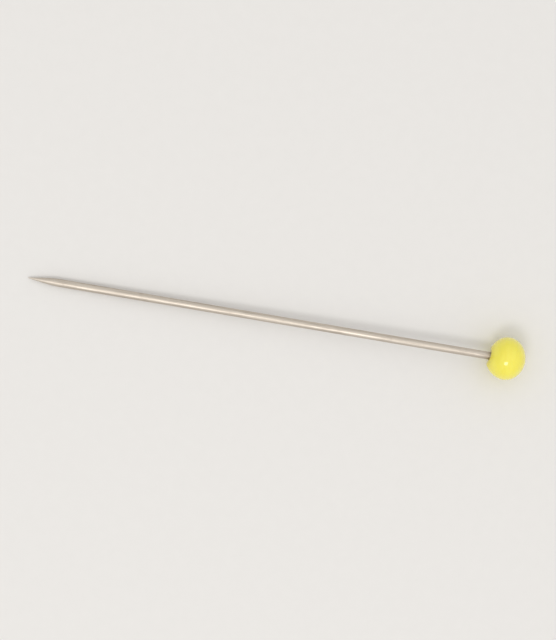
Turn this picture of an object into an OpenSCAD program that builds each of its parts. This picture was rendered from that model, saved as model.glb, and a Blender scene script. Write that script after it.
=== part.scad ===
// Straight pin: a steel wire ground to a point, with a glass head melted onto its blunt end.
// The pin lies on z = 0, on its head and on the wire just behind the point. The head is towards +X,
// and the origin is under the middle of the pin's box.

/* [Wire] */
// Diameter of the wire
wire_d = 0.7; // [0.6:0.05:0.8]
// Length of the wire, from the tip of the point to the end held in the glass
wire_len = 45; // [25:1:60]

/* [Point] */
// Length of the point, from its tip to the full width of the wire
point_len = 3.04; // [2.6:0.02:3.6]
// Length of the straight cone at the front of the point, measured from the tip
cone_len = 1.6; // [1.2:0.1:2]
// Diameter of the point at the back of the straight cone
cone_d = 0.5; // [0.4:0.02:0.56]
// Radius of the rounded tip
tip_r = 0.03; // [0.02:0.005:0.05]

/* [Glass head] */
// Diameter of the head at its widest
head_d = 4; // [3.8:0.1:4.5]
// Distance from the widest place to the far end of the head
nose_len = 1.76; // [1.72:0.02:1.86]
// Radius of the outline beyond the widest place, on the far side from the wire
belly_r = 1.6; // [1.5:0.05:1.7]
// Radius of the outline from the widest place to the lip, on the wire's side
shoulder_r = 1.9; // [1.8:0.05:2]
// Length of wire that the glass holds
seat_len = 2.4; // [1.8:0.1:2.6]
// Lean of the head on the wire, in degrees. The pin rolls until the head leans upwards
head_lean = 4.5; // [0:0.5:8]

/* [Dimple round the wire] */
// Diameter of the ring along the crest of the lip
lip_d = 1.64; // [1.52:0.04:2]
// Radius of the rounding of the lip
lip_r = 0.37; // [0.3:0.01:0.44]
// Depth of the dimple, from the crest of the lip to its floor
dimple_depth = 0.21; // [0.12:0.01:0.28]
// Width of the flat floor between the wire and the curve up to the lip
floor_w = 0.05; // [0.03:0.01:0.06]

/* [Hidden] */
// Facets to a full circle where the shape is drawn as a mesh. The tip is too small for many, and
// the curve behind the cone is a short piece of a large circle
$fn = 72;
tip_facets = 24;
bend_facets = 720;

wire_r = wire_d / 2;
head_r = head_d / 2;

// The curve behind the cone touches the side of the wire and ends at the back of the cone
bend_drop = wire_r - cone_d / 2;
bend_r = ((point_len - cone_len) ^ 2 + bend_drop ^ 2) / (2 * bend_drop);

// The outline of the head is drawn as [distance from its axis, height], with its widest place at
// height 0 and the wire below. Five arcs touch one after the other: cap, belly, shoulder, lip and
// valley. The centre of each follows from the sizes above and from where it touches the last one.
belly_c = [head_r - belly_r, 0];
cap_r = (nose_len ^ 2 + belly_c.x ^ 2 - belly_r ^ 2) / (2 * (nose_len - belly_r));
cap_c = [0, nose_len - cap_r];
shoulder_c = [head_r - shoulder_r, 0];
lip_x = lip_d / 2;
lip_c = [lip_x, -sqrt((shoulder_r - lip_r) ^ 2 - (lip_x - shoulder_c.x) ^ 2)];
floor_y = lip_c.y - lip_r + dimple_depth;
floor_r = wire_r + floor_w;
valley_r = ((lip_x - floor_r) ^ 2 + dimple_depth ^ 2) / (2 * dimple_depth) - lip_r;
valley_c = [floor_r, floor_y - valley_r];

// Where one arc hands over to the next
cap_end = belly_c + belly_r * unit(belly_c - cap_c);
shoulder_end = lip_c + lip_r * unit(lip_c - shoulder_c);
lip_end = lip_c + lip_r * unit(valley_c - lip_c);

// Distance along the wire from the tip to where it enters the glass
entry_at = wire_len - seat_len;

// The pin lies on two circles, written here as [distance towards the floor, distance along the
// wire]: the curve behind the cone and the arc of the shoulder, which leans with the head
front = [wire_r - bend_r, point_len];
rear = [0, entry_at] + turned([shoulder_c.x, -floor_y], head_lean);

// The floor touches both, and the wire slopes up from it by this angle
slope = asin((shoulder_r - bend_r) / norm(rear - front)) + atan2(rear.x - front.x, rear.y - front.y);

// The lying pin reaches from the tip to the far end of the cap
cap_at = [0, entry_at] + turned([0, cap_c.y - floor_y], head_lean);
nose_x = cap_at.x * sin(slope) + cap_at.y * cos(slope) + cap_r;
tip_x = tip_r * cos(slope) - tip_r;
drop_to_floor = bend_r + front.x * cos(slope) - front.y * sin(slope);

function unit(v) = v / norm(v);
function turned(v, angle) = [
    v.x * cos(angle) - v.y * sin(angle),
    v.x * sin(angle) + v.y * cos(angle)
];

// Lays down a pin that stands on its tip at the origin, with its wire along +Z
module lying() {
    translate([-(nose_x + tip_x) / 2, 0, drop_to_floor])
        rotate([0, 90 - slope, 0])
            children();
}

module disc(centre, r) {
    translate(centre)
        circle(r);
}

module block(low, high) {
    translate(low)
        square(high - low);
}

// Half section of the wire: a rounded tip, a straight cone, a long curve up to the full width, and
// the part that keeps it
module wire_outline() {
    intersection() {
        disc([0, tip_r], tip_r, $fn = tip_facets);
        block([0, 0], [tip_r, tip_r]);
    }
    polygon([[0, tip_r], [tip_r, tip_r], [cone_d / 2, cone_len], [0, cone_len]]);
    intersection() {
        disc([wire_r - bend_r, point_len], bend_r, $fn = bend_facets);
        block([0, cone_len], [wire_r, point_len]);
    }
    block([0, point_len], [wire_r, wire_len]);
}

// Half section of the glass, each arc kept between the places where it touches its neighbours
module head_outline() {
    intersection() {
        disc(cap_c, cap_r);
        block([0, cap_end.y], [head_d, head_d]);
    }
    intersection() {
        disc(belly_c, belly_r);
        block([0, 0], [head_d, cap_end.y]);
    }
    intersection() {
        disc(shoulder_c, shoulder_r);
        block([shoulder_end.x, -head_d], [head_d, 0]);
    }
    intersection() {
        disc(lip_c, lip_r);
        block([lip_end.x, -head_d], [shoulder_end.x, 0]);
    }
    block([lip_end.x, lip_c.y], [shoulder_end.x, 0]);
    difference() {
        block([floor_r, valley_c.y], [lip_end.x, 0]);
        disc(valley_c, valley_r);
    }
    block([0, floor_y], [floor_r, 0]);
}

// The whole bead, leaning about the place where the wire enters it
module bead() {
    translate([0, 0, entry_at])
        rotate([0, -head_lean, 0])
            translate([0, 0, -floor_y])
                rotate_extrude()
                    head_outline();
}

module steel_shaft() {
    color([0.8, 0.76, 0.71])
        lying()
            rotate_extrude()
                wire_outline();
}

// The glass is set hard round the wire, so its seat has the wire's own size
module glass_head() {
    color([0.95, 0.9, 0.34])
        lying()
            difference() {
                bead();
                translate([0, 0, point_len])
                    cylinder(r = wire_r, h = wire_len - point_len);
            }
}

steel_shaft();
glass_head();
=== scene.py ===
"""Straight pin with a glass head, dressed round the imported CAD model.

Two pieces take the place of the two CAD nodes: a drawn and nickel-plated wire with a ground point, and
a bead of yellow glass melted onto its blunt end. All lengths in the mesh code are in millimetres, in
the frame of the pin: x towards the floor, y across, z along the wire from the tip of the point.
"""
import math

import bpy
import numpy as np
from bpy.props import FloatProperty, FloatVectorProperty, IntProperty, PointerProperty
from bpy.types import Operator, Panel, PropertyGroup
from mathutils import Matrix, Vector


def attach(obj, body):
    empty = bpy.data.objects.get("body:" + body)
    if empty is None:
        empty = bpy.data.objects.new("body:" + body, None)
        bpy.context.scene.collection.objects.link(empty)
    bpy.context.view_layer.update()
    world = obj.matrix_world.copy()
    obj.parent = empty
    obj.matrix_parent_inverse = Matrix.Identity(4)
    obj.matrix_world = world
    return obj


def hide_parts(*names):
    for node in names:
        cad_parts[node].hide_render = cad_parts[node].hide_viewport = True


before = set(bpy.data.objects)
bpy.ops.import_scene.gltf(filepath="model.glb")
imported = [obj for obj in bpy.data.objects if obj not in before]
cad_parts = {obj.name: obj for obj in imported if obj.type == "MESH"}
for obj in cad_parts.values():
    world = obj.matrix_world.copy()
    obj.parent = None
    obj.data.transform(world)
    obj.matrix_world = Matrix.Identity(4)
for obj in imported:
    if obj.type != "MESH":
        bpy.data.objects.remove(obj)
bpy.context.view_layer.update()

bl_info = {
    "name": "Glass-headed pin",
    "version": (1, 0, 0),
    "blender": (4, 5, 0),
    "location": "3D View > Sidebar > Pin",
    "description": "Builds a straight pin with a glass head, its materials and a plain stage",
    "category": "Object",
}

MM = 0.001
IMAGE_WIDTH, IMAGE_HEIGHT = 556, 640

# Points along each stretch of the two outlines, both ends included
TIP_POINTS, CONE_POINTS, BEND_POINTS, STRAIGHT_POINTS = 10, 60, 48, 160
SEAT_POINTS, VALLEY_POINTS, LIP_POINTS = 13, 20, 36
SHOULDER_POINTS, BELLY_POINTS, CAP_POINTS = 60, 56, 40
# Shares of the wire's radius at which rings close its square end
END_SHARES = (0.33, 0.66)

# Heights above the wire's entry between which the lip's departures fade out, and between which the
# waves round the bead grow to their full size
LIP_FADE = (-0.1, 1.45)
WAVE_RISE = (0.2, 1.2)
# Each wave's share, its number to a turn, and its twist in radians to a millimetre of height, which
# starts at the height below
WAVES = ((0.42, 2, 0), (0.26, 3, 1.1), (0.32, 1, 0.6))
TWIST_START = 1.5

# Where the wire's darker ring, partly flame discoloration and partly painted shade of the head, begins
# and where it is full, from the wire's entry, and how wide the painted shade round the entry is on the
# glass
SCORCH_AND_SHADE_REACH = (-0.65, 0.45)
ENTRY_SHADE_WIDTH = 1.3
# Where the turned lines of the ground point fade out, back from its end
GROUND_FADE = (-0.5, -0.1)
# Depth of the finest relief, in metres
RELIEF = 0.006 * MM

# Features to a millimetre along x, y and z. Those of the nickel are in the frame of the pin, those of
# the glass in the frame of the bead
COARSE_LINES, FINE_LINES, GROUND_LINES = (6.5, 6.5, 0.14), (22, 22, 0.4), (3, 3, 26)
TARNISH, SCORCH_AND_SHADE_EDGE = (1.6, 1.6, 0.55), (5, 5, 4)
STREAKS, CLOUDS = (0.32, 0.32, 1.5), (0.5, 0.5, 0.5)
RIPPLES, PINHOLES = (0.9, 0.9, 0.9), (2.2, 2.2, 2.2)
# How much of its own colour each of them lays over the plain one, at most. The scorch's colour is partly
# painted shade, and the colour at the wire's entry and in the pinholes is painted shade
DRAWN_SHARE, GROUND_SHARE, TARNISH_SHARE, SCORCH_AND_SHADE_SHARE = 0.55, 0.35, 0.45, 0.4
STREAK_SHARE, CLOUD_SHARE, ENTRY_SHADE_SHARE, PINHOLE_SHADE_SHARE = 0.5, 0.3, 0.75, 0.7
# A pinhole's edge as a share of its cell, and the draw past which a cell has one
PINHOLE_EDGE, PINHOLE_DRAW = (0.05, 0.085), (0.84, 0.86)
# Roughness where the finish is at its cleanest
NICKEL_ROUGHNESS, GLASS_ROUGHNESS = 0.395, 0.14

# The stage, in metres and radians, with the floor's mottling in features to a metre
FLOOR_RADIUS, FLOOR_FACETS, FLOOR_MOTTLE = 1.5, 96, (900, 900, 900)
# The dome's brighter side lies this way, towards the head and towards the bottom of the picture
BRIGHT_ALONG, BRIGHT_ACROSS = 0.8, 0.6
AIM_HEIGHT = 1.2 * MM
LAMP_DISTANCE, LAMP_WIDTH, LAMP_HEIGHT = 0.45, 0.18, 0.135
LAMP_DOWN, LAMP_LEFT = math.radians(26), math.radians(-6.5)
# Width of the camera's sensor in millimetres, as its lens is stated, and the distances it sees
SENSOR_WIDTH = 36
NEAREST, FARTHEST = 0.005, 10


def length(name, description, millimetres, low, high):
    """A size that a user may change, kept in metres."""
    return FloatProperty(
        name=name,
        description=description,
        default=millimetres * MM,
        min=low * MM,
        max=high * MM,
        precision=5,
        unit="LENGTH",
        subtype="DISTANCE",
    )


def colour(name, description, value):
    """A colour that a user may change."""
    return FloatVectorProperty(
        name=name, description=description, default=value, size=3, min=0, max=1, subtype="COLOR"
    )


class PinWireSizes(PropertyGroup):
    """Sizes of the wire and its point."""

    diameter: length("Diameter", "Diameter of the wire", 0.7, 0.4, 1.2)
    reach: length("Length", "From the tip to the end held in the glass", 45, 20, 80)
    point: length("Point length", "From the tip to the full width of the wire", 3.04, 2, 5)
    cone: length("Cone length", "Straight cone at the front of the point", 1.6, 1, 2)
    cone_width: length("Cone width", "Diameter at the back of the straight cone", 0.5, 0.3, 0.6)
    tip: length("Tip radius", "Radius of the rounded tip", 0.03, 0.01, 0.06)
    around: IntProperty(
        name="Facets", description="Facets round the wire", default=96, min=24, max=256
    )


class PinHeadSizes(PropertyGroup):
    """Sizes of the glass head."""

    diameter: length("Diameter", "Widest place of the head", 4, 3, 6)
    nose: length("Nose length", "From the widest place to the far end", 1.76, 1.5, 2.5)
    belly: length("Belly radius", "Outline beyond the widest place", 1.6, 1, 2.5)
    shoulder: length("Shoulder radius", "Outline from the widest place to the lip", 1.9, 1, 2.5)
    seat: length("Seat length", "Length of wire that the glass holds", 2.4, 1, 2.8)
    lip_ring: length("Lip ring", "Diameter of the ring along the crest of the lip", 1.64, 1.2, 2.4)
    lip: length("Lip radius", "Rounding of the lip", 0.37, 0.2, 0.6)
    dimple: length("Dimple depth", "From the crest of the lip to the dimple's floor", 0.21, 0.05, 0.4)
    floor: length("Dimple floor", "Flat ring between the wire and the curve up", 0.05, 0.02, 0.1)
    low_lobe: length("Low lobe", "How much the lip falls short on one side of the wire", 0.16, 0, 0.2)
    lobe_gap: length("Lobe gap", "How much the lip falls short between the lobes", 0.22, 0, 0.25)
    tuck: length("Tuck", "How far the lip draws in towards the wire", 0.09, 0, 0.15)
    uneven: length("Unevenness", "How far the hand-melted form falls short of round", 0.03, 0, 0.1)
    lean: FloatProperty(
        name="Lean",
        description="Upward lean of the head on the wire",
        default=math.radians(4.5),
        min=0,
        max=math.radians(10),
        unit="ROTATION",
        subtype="ANGLE",
    )
    around: IntProperty(
        name="Facets", description="Facets round the head", default=192, min=48, max=256
    )


class PinColours(PropertyGroup):
    """Colours of the finishes and of the stage."""

    nickel: colour("Nickel", "Plated wire", (0.7, 0.637, 0.558))
    nickel_dull: colour("Dull nickel", "Drawing lines and tarnish in the plating", (0.4, 0.344, 0.288))
    # Colour of the wire's darker ring beside the glass: partly flame discoloration, partly painted shade
    # of the head
    scorch_and_shade: colour("Scorch", "Plating discoloured by the flame beside the glass", (0.27, 0.2, 0.135))
    glass: colour("Glass", "Opaque yellow glass", (0.9, 0.815, 0.085))
    glass_deep: colour("Deep glass", "Deeper streaks wound into the glass", (0.865, 0.74, 0.055))
    # Olive colour of the painted shade round where the wire enters the glass and in the pinholes
    olive_shade: colour("Stain", "Glass coloured by the steel where the wire enters", (0.5, 0.41, 0.07))
    floor: colour("Floor", "Floor under the pin", (0.8, 0.79, 0.775))
    light: colour("Light", "Colour of the studio light", (1.0, 0.985, 0.965))


class PinStage(PropertyGroup):
    """Camera and light."""

    view_width: length("View width", "Width of floor that the picture shows", 50.5, 20, 400)
    lens: FloatProperty(
        name="Lens", description="Focal length in millimetres", default=120, min=20, max=300
    )
    turn: FloatProperty(
        name="Turn",
        description="Angle of the wire in the picture, with the head lower right",
        default=math.radians(9.6),
        unit="ROTATION",
        subtype="ANGLE",
    )
    tilt: FloatProperty(
        name="Tilt",
        description="How far the view leans off the vertical, towards the point",
        default=math.radians(5),
        unit="ROTATION",
        subtype="ANGLE",
    )
    dome: FloatProperty(
        name="Dome light", description="Even light at the horizon", default=0.65, min=0, max=2
    )
    zenith: FloatProperty(
        name="Zenith", description="What the dome gains overhead", default=0.37, min=0, max=2
    )
    side: FloatProperty(
        name="Side",
        description="What the dome gains towards its brighter side",
        default=0.08,
        min=0,
        max=1,
    )
    lamp: FloatProperty(
        name="Lamp", description="Power of the small lamp in watts", default=0.35, min=0, max=5
    )


class PinPose:
    """How the pin lies: on the curve behind its cone and on the shoulder of its leaning head.

    Both are circles in the upright plane through the wire, so the floor is the line that touches the
    two, and its angle to the wire comes from their centres and radii.
    """

    def __init__(self, wire, head):
        self.wire_r = wire.diameter / MM / 2
        self.tip_r = wire.tip / MM
        self.cone_len, self.cone_r = wire.cone / MM, wire.cone_width / MM / 2
        self.point_len = wire.point / MM
        self.wire_len = wire.reach / MM
        self.entry = (wire.reach - head.seat) / MM
        self.lean = head.lean
        drop = self.wire_r - self.cone_r
        self.bend_r = ((self.point_len - self.cone_len) ** 2 + drop**2) / (2 * drop)

        self.head_r = head.diameter / MM / 2
        belly_r, shoulder_r, lip_r = head.belly / MM, head.shoulder / MM, head.lip / MM
        nose, lip_x = head.nose / MM, head.lip_ring / MM / 2
        belly_x = self.head_r - belly_r
        self.cap_r = (nose**2 + belly_x**2 - belly_r**2) / (2 * (nose - belly_r))
        self.cap_c = np.array([0, nose - self.cap_r])
        self.belly_c, self.belly_r = np.array([belly_x, 0]), belly_r
        self.shoulder_c, self.shoulder_r = np.array([self.head_r - shoulder_r, 0]), shoulder_r
        lip_y = -math.sqrt((shoulder_r - lip_r) ** 2 - (lip_x - self.shoulder_c[0]) ** 2)
        self.lip_c, self.lip_r = np.array([lip_x, lip_y]), lip_r
        dimple = head.dimple / MM
        self.floor_y = lip_y - lip_r + dimple
        self.floor_r = self.wire_r + head.floor / MM
        self.valley_r = ((lip_x - self.floor_r) ** 2 + dimple**2) / (2 * dimple) - lip_r
        self.valley_c = np.array([self.floor_r, self.floor_y - self.valley_r])

        front = np.array([self.wire_r - self.bend_r, self.point_len])
        rear = np.array([0, self.entry]) + self.turned(self.shoulder_c[0], -self.floor_y)
        apart = rear - front
        self.slope = math.asin((shoulder_r - self.bend_r) / np.hypot(*apart)) + math.atan2(*apart)
        cap_at = np.array([0, self.entry]) + self.turned(0, self.cap_c[1] - self.floor_y)
        sine, cosine = math.sin(self.slope), math.cos(self.slope)
        nose_x = cap_at[0] * sine + cap_at[1] * cosine + self.cap_r
        self.middle = (nose_x + self.tip_r * cosine - self.tip_r) / 2
        self.rise = self.bend_r + front[0] * cosine - front[1] * sine

    def turned(self, u, h):
        """A point of the leaning head, [towards the floor, along its axis], in the frame of the pin."""
        return np.array(
            [
                u * math.cos(self.lean) - h * math.sin(self.lean),
                u * math.sin(self.lean) + h * math.cos(self.lean),
            ]
        )

    def leaned(self, u, v, h):
        """Points of the head in the frame of the pin, h being the height above the wire's entry."""
        x, z = self.turned(u, h)
        return np.stack([x, v, self.entry + z], axis=-1)

    def laid(self, points):
        """Points of the pin in the frame of the row, in metres: turned by the slope and lifted."""
        x, y, z = points[..., 0], points[..., 1], points[..., 2]
        sine, cosine = math.sin(self.slope), math.cos(self.slope)
        row = np.stack(
            [z * cosine + x * sine - self.middle, y, z * sine - x * cosine + self.rise], axis=-1
        )
        return row * MM


def arc(centre, radius, start, end, count):
    """Points on a circle from one angle to another, both included, in radians from the first axis."""
    angle = np.linspace(start, end, count)
    return np.stack([centre[0] + radius * np.cos(angle), centre[1] + radius * np.sin(angle)], axis=-1)


def smooth(low, high, value):
    """0 up to low, 1 from high on, and between them the cubic that is level at both ends."""
    share = np.clip((value - low) / (high - low), 0, 1)
    return share * share * (3 - 2 * share)


def lathe_angles(count):
    """Equal steps round a full turn, from 0 to the last one before it closes."""
    return np.arange(count) * (2 * math.pi / count)


def closed_surface(name, rings, first, last, material):
    """A mesh from rings of points, each ring joined to the next and round to its own start, with a
    point at either end to close it. Rings run so that their faces look outwards."""
    rows, around = rings.shape[:2]
    points = np.concatenate([rings.reshape(-1, 3), first[None], last[None]])
    index = np.arange(rows * around).reshape(rows, around)
    near, beside = index[:-1], np.roll(index[:-1], -1, axis=1)
    far, beyond = index[1:], np.roll(index[1:], -1, axis=1)
    quads = np.stack([near, beside, beyond, far], axis=-1).reshape(-1, 4)
    start = np.stack([np.full(around, rows * around), np.roll(index[0], -1), index[0]], axis=-1)
    stop = np.stack([np.full(around, rows * around + 1), index[-1], np.roll(index[-1], -1)], axis=-1)
    mesh = bpy.data.meshes.new(name)
    mesh.from_pydata(points.tolist(), [], quads.tolist() + start.tolist() + stop.tolist())
    mesh.polygons.foreach_set("use_smooth", np.ones(len(mesh.polygons), bool))
    mesh.materials.append(material)
    mesh.validate()
    mesh.update()
    piece = bpy.data.objects.new(name, mesh)
    bpy.context.scene.collection.objects.link(piece)
    return piece


def wire_rings(pose, around):
    """The wire is its half section [radius, distance from the tip] turned about the wire's axis: a
    quarter circle at the tip, a straight cone, a long arc up to the full radius, and the full radius
    up to the end, which is cut square."""
    tip = arc([0, pose.tip_r], pose.tip_r, -math.pi / 2, 0, TIP_POINTS)[1:]
    share = np.linspace(0, 1, CONE_POINTS)[1:, None]
    cone = (1 - share) * [pose.tip_r, pose.tip_r] + share * [pose.cone_r, pose.cone_len]
    bend_c = [pose.wire_r - pose.bend_r, pose.point_len]
    low = -math.asin((pose.point_len - pose.cone_len) / pose.bend_r)
    bend = arc(bend_c, pose.bend_r, low, 0, BEND_POINTS)[1:]
    along = np.linspace(pose.point_len, pose.wire_len, STRAIGHT_POINTS)[1:]
    straight = np.stack([np.full_like(along, pose.wire_r), along], axis=-1)
    end_radii = pose.wire_r * np.array(END_SHARES[::-1])
    end = np.stack([end_radii, np.full_like(end_radii, pose.wire_len)], axis=-1)
    section = np.concatenate([tip, cone, bend, straight, end])
    angle = lathe_angles(around)
    radius, distance = section[:, :1], section[:, 1:]
    return np.stack(
        [radius * np.cos(angle), radius * np.sin(angle), distance + 0 * angle], axis=-1
    )


def head_section(pose):
    """Half section of the bead [distance from its axis, height above the wire's entry]: the curve up
    from the dimple's floor, the lip, the shoulder, the belly and the cap, five arcs that touch."""

    def towards(a, b):
        return math.atan2(b[1] - a[1], b[0] - a[0])

    lip_low = towards(pose.lip_c, pose.valley_c)
    valley = arc(pose.valley_c, pose.valley_r, math.pi / 2, lip_low + math.pi, VALLEY_POINTS)
    lip_high = towards(pose.shoulder_c, pose.lip_c)
    lip = arc(pose.lip_c, pose.lip_r, lip_low, lip_high, LIP_POINTS)
    shoulder = arc(pose.shoulder_c, pose.shoulder_r, lip_high, 0, SHOULDER_POINTS)
    belly_high = towards(pose.cap_c, pose.belly_c)
    belly = arc(pose.belly_c, pose.belly_r, 0, belly_high, BELLY_POINTS)
    cap = arc(pose.cap_c, pose.cap_r, belly_high, math.pi / 2, CAP_POINTS)
    section = np.concatenate([valley, lip[1:], shoulder[1:], belly[1:], cap[1:-1]])
    return section - [0, pose.floor_y]


def head_rings(pose, head, around):
    """The bead's rings, from the floor of its blind seat out over the dimple to the nose.

    The seat is a cylinder about the wire's axis, cut by the plane of the dimple's floor. The outside is
    the half section turned about the leaning axis. Then the lip is pushed back along that axis by a
    mean, a cosine of twice the angle and a sine of the angle, so that it stands up in two unlike lobes
    beside the wire, the taller at its full height. The lip is tucked in towards the wire as well. Both
    moves grow up to the crest and fade out at the widest place. The radius falls short of round by low
    waves that vanish where the bead lies on the floor.
    """
    angle = lathe_angles(around)
    cosine, sine = np.cos(angle), np.sin(angle)
    wire_r = pose.wire_r
    hole = wire_r * np.stack([cosine, sine], axis=-1)
    lip_x = head.lip_ring / MM / 2
    low, between = head.low_lobe / MM, head.lobe_gap / MM
    lobes = (between + low / 2) / 2 + (between - low / 2) / 2 * np.cos(2 * angle) + low / 2 * sine

    def near_lip(start, radius, height):
        return smooth(start, lip_x, radius) * (1 - smooth(*LIP_FADE, height))

    shares = np.array([*END_SHARES, 1])[:, None]
    end_z = pose.wire_len + 0 * shares * angle
    disc = np.stack([shares * hole[:, 0], shares * hole[:, 1], end_z], axis=-1)
    mouth = pose.entry + hole[:, 0] * math.tan(pose.lean) + lobes * near_lip(0, wire_r, 0)
    share = np.linspace(0, 1, SEAT_POINTS)[1:, None]
    wall_z = (1 - share) * pose.wire_len + share * mouth
    wall = np.stack([hole[:, 0] + 0 * wall_z, hole[:, 1] + 0 * wall_z, wall_z], axis=-1)

    section = head_section(pose)
    radius, height = section[:, :1], section[:, 1:]
    turns = height - TWIST_START
    waves = sum(share * np.cos(count * angle + twist * turns) for share, count, twist in WAVES)
    short = head.uneven / MM * 0.5 * (1 - waves) * smooth(*WAVE_RISE, height) * radius / pose.head_r
    tucked = head.tuck / MM * near_lip(pose.floor_r, radius, height)
    radius, height = radius - short - tucked, height + lobes * near_lip(0, radius, height)
    outside = pose.leaned(radius * cosine, radius * sine, height)
    return np.concatenate([disc, wall, outside])


class Value:
    """A number from a node. Operators on it add Math nodes, with plain numbers on either side."""

    def __init__(self, shade, socket):
        self.shade, self.socket = shade, socket

    def __add__(self, other):
        return self.shade.maths("ADD", self, other)

    def __sub__(self, other):
        return self.shade.maths("SUBTRACT", self, other)

    def __rsub__(self, other):
        return self.shade.maths("SUBTRACT", other, self)

    def __mul__(self, other):
        return self.shade.maths("MULTIPLY", self, other)

    def __pow__(self, other):
        return self.shade.maths("POWER", self, other)

    __radd__, __rmul__ = __add__, __mul__


class Shade:
    """The node tree of a material or of the world."""

    def __init__(self, owner):
        owner.use_nodes = True
        self.tree = owner.node_tree
        self.tree.nodes.clear()

    def node(self, kind, settings=None, sockets=None):
        """Adds a node of the kind, sets its settings, then fills its sockets with values or links."""
        made = self.tree.nodes.new(kind)
        for key, value in (settings or {}).items():
            setattr(made, key, value)
        for key, value in (sockets or {}).items():
            value = value.socket if isinstance(value, Value) else value
            if isinstance(value, bpy.types.NodeSocket):
                self.tree.links.new(value, made.inputs[key])
            else:
                made.inputs[key].default_value = value
        return made.outputs

    def maths(self, operation, a, b):
        """The result of a Math node on two numbers or values."""
        return Value(self, self.node("ShaderNodeMath", {"operation": operation}, {0: a, 1: b})[0])

    def between(self, value, low, high, start=0.0, end=1.0):
        """The value read off a smooth step that goes from start at low to end at high."""
        made = self.node(
            "ShaderNodeMapRange",
            {"interpolation_type": "SMOOTHSTEP"},
            {"Value": value, "From Min": low, "From Max": high, "To Min": start, "To Max": end},
        )
        return Value(self, made[0])

    def mix(self, share, first, second):
        """A colour part of the way from the first to the second."""
        ends = [(*c, 1) if isinstance(c, tuple) else c for c in (first, second)]
        made = self.node(
            "ShaderNodeMix", {"data_type": "RGBA"}, {0: share, 6: ends[0], 7: ends[1]}
        )
        return made[2]

    def scaled(self, vector, amounts):
        """The vector with each part multiplied by its own amount."""
        return self.node("ShaderNodeVectorMath", {"operation": "MULTIPLY"}, {0: vector, 1: amounts})[0]

    def noise(self, vector, amounts, detail=2.0, roughness=0.5, distortion=0.0):
        """Noise with its features drawn out or packed along each axis: the amounts are about the number
        of features to a unit of the vector, which is a millimetre on the pin."""
        sockets = {
            "Vector": self.scaled(vector, amounts),
            "Scale": 1.0,
            "Detail": detail,
            "Roughness": roughness,
            "Distortion": distortion,
        }
        return Value(self, self.node("ShaderNodeTexNoise", {}, sockets)["Fac"])

    def frame_of(self, turn, offset):
        """Object coordinates in millimetres, turned about Y and moved into the frame of a piece."""
        place = self.node("ShaderNodeTexCoord")["Object"]
        sockets = {"Vector": place, "Location": offset, "Rotation": (0, turn, 0), "Scale": (1 / MM,) * 3}
        vector = self.node("ShaderNodeMapping", {"vector_type": "POINT"}, sockets)[0]
        parts = self.node("ShaderNodeSeparateXYZ", {}, {0: vector})
        return vector, [Value(self, part) for part in parts]

    def bump(self, height, distance, strength):
        """A normal tipped by the slope of the height."""
        sockets = {"Height": height, "Distance": distance, "Strength": strength}
        return self.node("ShaderNodeBump", {}, sockets)[0]

    def principled(self, sockets):
        """Closes the tree with the one shader and the output."""
        shader = self.node("ShaderNodeBsdfPrincipled", {}, sockets)
        self.node("ShaderNodeOutputMaterial", {}, {"Surface": shader[0]})


def turned_about_y(point, angle):
    """The point turned about Y, as a Mapping node turns it."""
    x, y, z = point
    return (
        x * math.cos(angle) + z * math.sin(angle),
        y,
        z * math.cos(angle) - x * math.sin(angle),
    )


def pin_frame(pose):
    """The turn and offset that take row coordinates in millimetres to the frame of the pin."""
    turn = pose.slope - math.pi / 2
    return turn, turned_about_y((pose.middle, 0, -pose.rise), turn)


def bead_frame(pose):
    """The same for the frame of the bead, whose origin is where the wire enters it."""
    turn, (x, y, z) = pin_frame(pose)
    return turn + pose.lean, turned_about_y((x, y, z - pose.entry), pose.lean)


def rgb(value):
    """A colour property as a plain tuple."""
    return tuple(float(c) for c in value)


def nickel_material(pose, colours):
    """Nickel on drawn steel: long drawing lines, faint tarnish, turned lines on the ground point, and a
    darker ring beside the glass that is partly flame discoloration and partly painted shade of the head
    and its dimple."""
    material = bpy.data.materials.new("nickel_wire")
    shade = Shade(material)
    vector, (_, _, z) = shade.frame_of(*pin_frame(pose))
    coarse = shade.noise(vector, COARSE_LINES, 2, 0.6)
    fine = shade.noise(vector, FINE_LINES, 3, 0.65)
    tarnish = shade.noise(vector, TARNISH, 4, 0.6, 0.4)
    ground = shade.between(z, *(pose.point_len + place for place in GROUND_FADE), 1, 0)
    rings = shade.noise(vector, GROUND_LINES, 2, 0.6)

    lines = shade.between(coarse * 0.6 + fine * 0.4, 0.38, 0.68)
    dull = shade.between(tarnish, 0.48, 0.78) * TARNISH_SHARE
    drawn = lines * (1 - ground) * DRAWN_SHARE + rings * ground * GROUND_SHARE
    ragged = shade.noise(vector, SCORCH_AND_SHADE_EDGE, 3, 0.6) * 0.4
    # Darker ring on the wire beside the glass: partly flame discoloration, partly painted shade of the
    # head and its dimple
    scorch_and_shade = shade.between(z + ragged, *(pose.entry + place for place in SCORCH_AND_SHADE_REACH))

    base = shade.mix(drawn, rgb(colours.nickel), rgb(colours.nickel_dull))
    base = shade.mix(dull, base, rgb(colours.nickel_dull))
    base = shade.mix(scorch_and_shade * SCORCH_AND_SHADE_SHARE, base, rgb(colours.scorch_and_shade))
    roughness = NICKEL_ROUGHNESS + lines * 0.1 + dull * 0.15 + scorch_and_shade * 0.1
    height = (coarse * 0.6 + fine * 0.5) * (1 - ground) + rings * ground * 0.6
    shade.principled(
        {
            "Base Color": base,
            "Metallic": 1.0,
            "Specular Tint": (0.5, 0.45, 0.4, 1),
            "Roughness": roughness,
            "Normal": shade.bump(height, RELIEF, 0.6),
        }
    )
    return material


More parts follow.
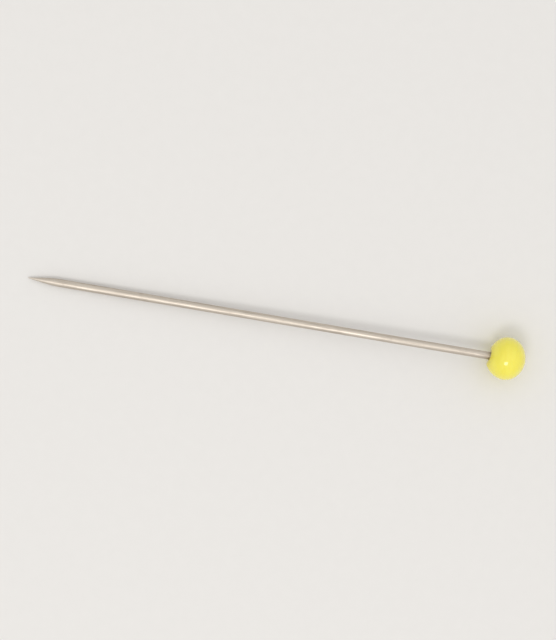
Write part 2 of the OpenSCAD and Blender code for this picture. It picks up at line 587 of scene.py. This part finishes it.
def glass_material(pose, colours):
    """Opaque glass with a fire-polished skin: faint wound streaks, a few pinholes darkened with painted
    shade, and painted olive shade round where the wire enters."""
    material = bpy.data.materials.new("yellow_glass")
    shade = Shade(material)
    vector, (u, v, h) = shade.frame_of(*bead_frame(pose))
    streaks = shade.noise(vector, STREAKS, 3, 0.55, 1.1)
    cloud = shade.noise(vector, CLOUDS, 2, 0.5)
    wound = shade.between(streaks, 0.42, 0.72) * STREAK_SHARE
    deep = wound + shade.between(cloud, 0.35, 0.75) * CLOUD_SHARE

    from_entry = (u * u + v * v + h * h) ** 0.5
    # Painted shade on the glass round where the wire enters, fading with distance from the entry
    olive_shade = shade.between(from_entry, pose.wire_r, pose.wire_r + ENTRY_SHADE_WIDTH, 1, 0) ** 1.6
    cells = shade.node(
        "ShaderNodeTexVoronoi",
        {"feature": "F1"},
        {"Vector": shade.scaled(vector, PINHOLES), "Scale": 1.0, "Randomness": 1.0},
    )
    draw = Value(shade, shade.node("ShaderNodeSeparateColor", {}, {0: cells["Color"]})[0])
    pinhole = shade.between(Value(shade, cells["Distance"]), *PINHOLE_EDGE, 1, 0)
    pinhole = pinhole * shade.between(draw, *PINHOLE_DRAW)

    base = shade.mix(deep, rgb(colours.glass), rgb(colours.glass_deep))
    base = shade.mix(olive_shade * ENTRY_SHADE_SHARE, base, rgb(colours.olive_shade))
    # Painted shade darkens the pinholes
    base = shade.mix(pinhole * PINHOLE_SHADE_SHARE, base, rgb(colours.olive_shade))
    ripple = shade.noise(vector, RIPPLES, 2, 0.5)
    height = ripple - pinhole * 0.8
    shade.principled(
        {
            "Base Color": base,
            "Roughness": GLASS_ROUGHNESS + cloud * 0.08 + olive_shade * 0.2 + pinhole * 0.2,
            "IOR": 1.52,
            "Subsurface Weight": 0.12,
            "Subsurface Radius": (1.0, 0.8, 0.25),
            "Subsurface Scale": 0.5 * MM,
            "Coat Weight": 0.7,
            "Coat Roughness": 0.07,
            "Normal": shade.bump(height, RELIEF, 0.5),
        }
    )
    return material


def pin_settings():
    """The four groups of sizes and colours, as the user left them."""
    scene = bpy.context.scene
    return scene.pin_wire, scene.pin_head, scene.pin_colours, scene.pin_stage


def dressed(piece, node):
    """Hangs a finished piece on the one body, in place of its CAD node."""
    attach(piece, "root")
    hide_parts(node)


class PIN_OT_wire(Operator):
    """Build the plated wire with its ground point."""

    bl_idname = "pin.wire"
    bl_label = "Wire"

    def execute(self, context):
        wire, head, colours, _ = pin_settings()
        pose = PinPose(wire, head)
        rings = pose.laid(wire_rings(pose, wire.around))
        ends = pose.laid(np.array([[0, 0, 0], [0, 0, pose.wire_len]]))
        piece = closed_surface("drawn_wire", rings, *ends, nickel_material(pose, colours))
        dressed(piece, "steel_shaft")
        return {"FINISHED"}


class PIN_OT_head(Operator):
    """Build the glass head with its blind seat."""

    bl_idname = "pin.head"
    bl_label = "Glass head"

    def execute(self, context):
        wire, head, colours, _ = pin_settings()
        pose = PinPose(wire, head)
        rings = pose.laid(head_rings(pose, head, head.around))
        nose = pose.leaned(0, 0, head.nose / MM - pose.floor_y)
        first, last = pose.laid(np.array([[0, 0, pose.wire_len], nose]))
        piece = closed_surface("glass_bead", rings, first, last, glass_material(pose, colours))
        dressed(piece, "glass_head")
        return {"FINISHED"}


def lay_floor(colours):
    """A wide round sheet at z = 0, with the faintest mottling."""
    angle = lathe_angles(FLOOR_FACETS)
    points = np.stack(
        [FLOOR_RADIUS * np.cos(angle), FLOOR_RADIUS * np.sin(angle), 0 * angle], axis=-1
    )
    mesh = bpy.data.meshes.new("floor")
    mesh.from_pydata(points.tolist(), [], [list(range(len(points)))])
    floor = bpy.data.objects.new("floor", mesh)
    bpy.context.scene.collection.objects.link(floor)
    material = bpy.data.materials.new("floor")
    shade = Shade(material)
    place = shade.node("ShaderNodeTexCoord")["Object"]
    mottle = shade.noise(place, FLOOR_MOTTLE, 3, 0.6)
    darker = tuple(0.97 * c for c in rgb(colours.floor))
    base = shade.mix(mottle, rgb(colours.floor), darker)
    shade.principled({"Base Color": base, "Roughness": 0.85, "Specular IOR Level": 0.2})
    mesh.materials.append(material)


def view_turn(stage):
    """The camera's turn: the wire's slope in the picture, then the lean towards the point."""
    return Matrix.Rotation(-stage.tilt, 4, "Y") @ Matrix.Rotation(stage.turn, 4, "Z")


def hang_lights(colours, stage):
    """An even dome that is a little brighter overhead and towards the lower right of the picture, and
    one small oval lamp. The lamp stands off the line of sight, towards the bottom of the picture and a
    little to the left, which puts the highlight just below the middle of the head."""
    world = bpy.data.worlds.new("dome")
    bpy.context.scene.world = world
    shade = Shade(world)
    direction = shade.node("ShaderNodeTexCoord")["Generated"]
    parts = shade.node("ShaderNodeSeparateXYZ", {}, {0: direction})
    along, across, up = (Value(shade, part) for part in parts)
    level = stage.dome + shade.maths("MAXIMUM", up, 0) * stage.zenith
    level = level + (along * BRIGHT_ALONG - across * BRIGHT_ACROSS) * stage.side
    sky = shade.node("ShaderNodeBackground", {}, {"Color": (*rgb(colours.light), 1), "Strength": level})
    shade.node("ShaderNodeOutputWorld", {}, {"Surface": sky[0]})

    data = bpy.data.lights.new("lamp", "AREA")
    data.shape, data.size, data.size_y = "ELLIPSE", LAMP_WIDTH, LAMP_HEIGHT
    data.energy, data.color = stage.lamp, rgb(colours.light)
    lamp = bpy.data.objects.new("lamp", data)
    down, left = Matrix.Rotation(LAMP_DOWN, 4, "X"), Matrix.Rotation(LAMP_LEFT, 4, "Y")
    beam = view_turn(stage) @ down @ left
    lamp.location = beam @ Vector((0, 0, LAMP_DISTANCE))
    lamp.rotation_euler = beam.to_euler()
    bpy.context.scene.collection.objects.link(lamp)


def stand_camera(stage):
    """Above the middle of the pin, turned so that the head is at the lower right. The view leans a
    little towards the point, because in the photograph the wire comes down to the head, and the hollow
    where it enters the glass shows."""
    data = bpy.data.cameras.new("camera")
    data.lens, data.sensor_width = stage.lens, SENSOR_WIDTH
    data.clip_start, data.clip_end = NEAREST, FARTHEST
    camera = bpy.data.objects.new("camera", data)
    view_height = stage.view_width * IMAGE_HEIGHT / IMAGE_WIDTH
    aim = Vector((0, 0, AIM_HEIGHT))
    turn = view_turn(stage)
    camera.rotation_euler = turn.to_euler()
    camera.location = aim + turn @ Vector((0, 0, view_height * stage.lens / data.sensor_width))
    bpy.context.scene.collection.objects.link(camera)
    bpy.context.scene.camera = camera


class PIN_OT_stage(Operator):
    """Build the floor, the light and the camera."""

    bl_idname = "pin.stage"
    bl_label = "Stage"

    def execute(self, context):
        _, _, colours, stage = pin_settings()
        stand_camera(stage)
        hang_lights(colours, stage)
        lay_floor(colours)
        context.scene.view_settings.view_transform = "Standard"
        return {"FINISHED"}


class PIN_PT_panel(Panel):
    """Lists the pieces of the pin and their sizes."""

    bl_idname = "PIN_PT_panel"
    bl_label = "Glass-headed pin"
    bl_space_type = "VIEW_3D"
    bl_region_type = "UI"
    bl_category = "Pin"

    def draw(self, context):
        for name, cls in GROUPS.items():
            box = self.layout.box()
            if name in OPERATORS:
                box.operator(OPERATORS[name].bl_idname)
            for key in cls.__annotations__:
                box.prop(getattr(context.scene, name), key)


GROUPS = {
    "pin_wire": PinWireSizes,
    "pin_head": PinHeadSizes,
    "pin_colours": PinColours,
    "pin_stage": PinStage,
}
OPERATORS = {"pin_wire": PIN_OT_wire, "pin_head": PIN_OT_head, "pin_stage": PIN_OT_stage}
CLASSES = (*GROUPS.values(), *OPERATORS.values(), PIN_PT_panel)


def register():
    for cls in CLASSES:
        bpy.utils.register_class(cls)
    for name, cls in GROUPS.items():
        setattr(bpy.types.Scene, name, PointerProperty(type=cls))


def unregister():
    for name in GROUPS:
        delattr(bpy.types.Scene, name)
    for cls in reversed(CLASSES):
        bpy.utils.unregister_class(cls)


def main():
    register()
    bpy.ops.pin.stage()
    bpy.ops.pin.wire()
    bpy.ops.pin.head()


if __name__ == "__main__":
    main()
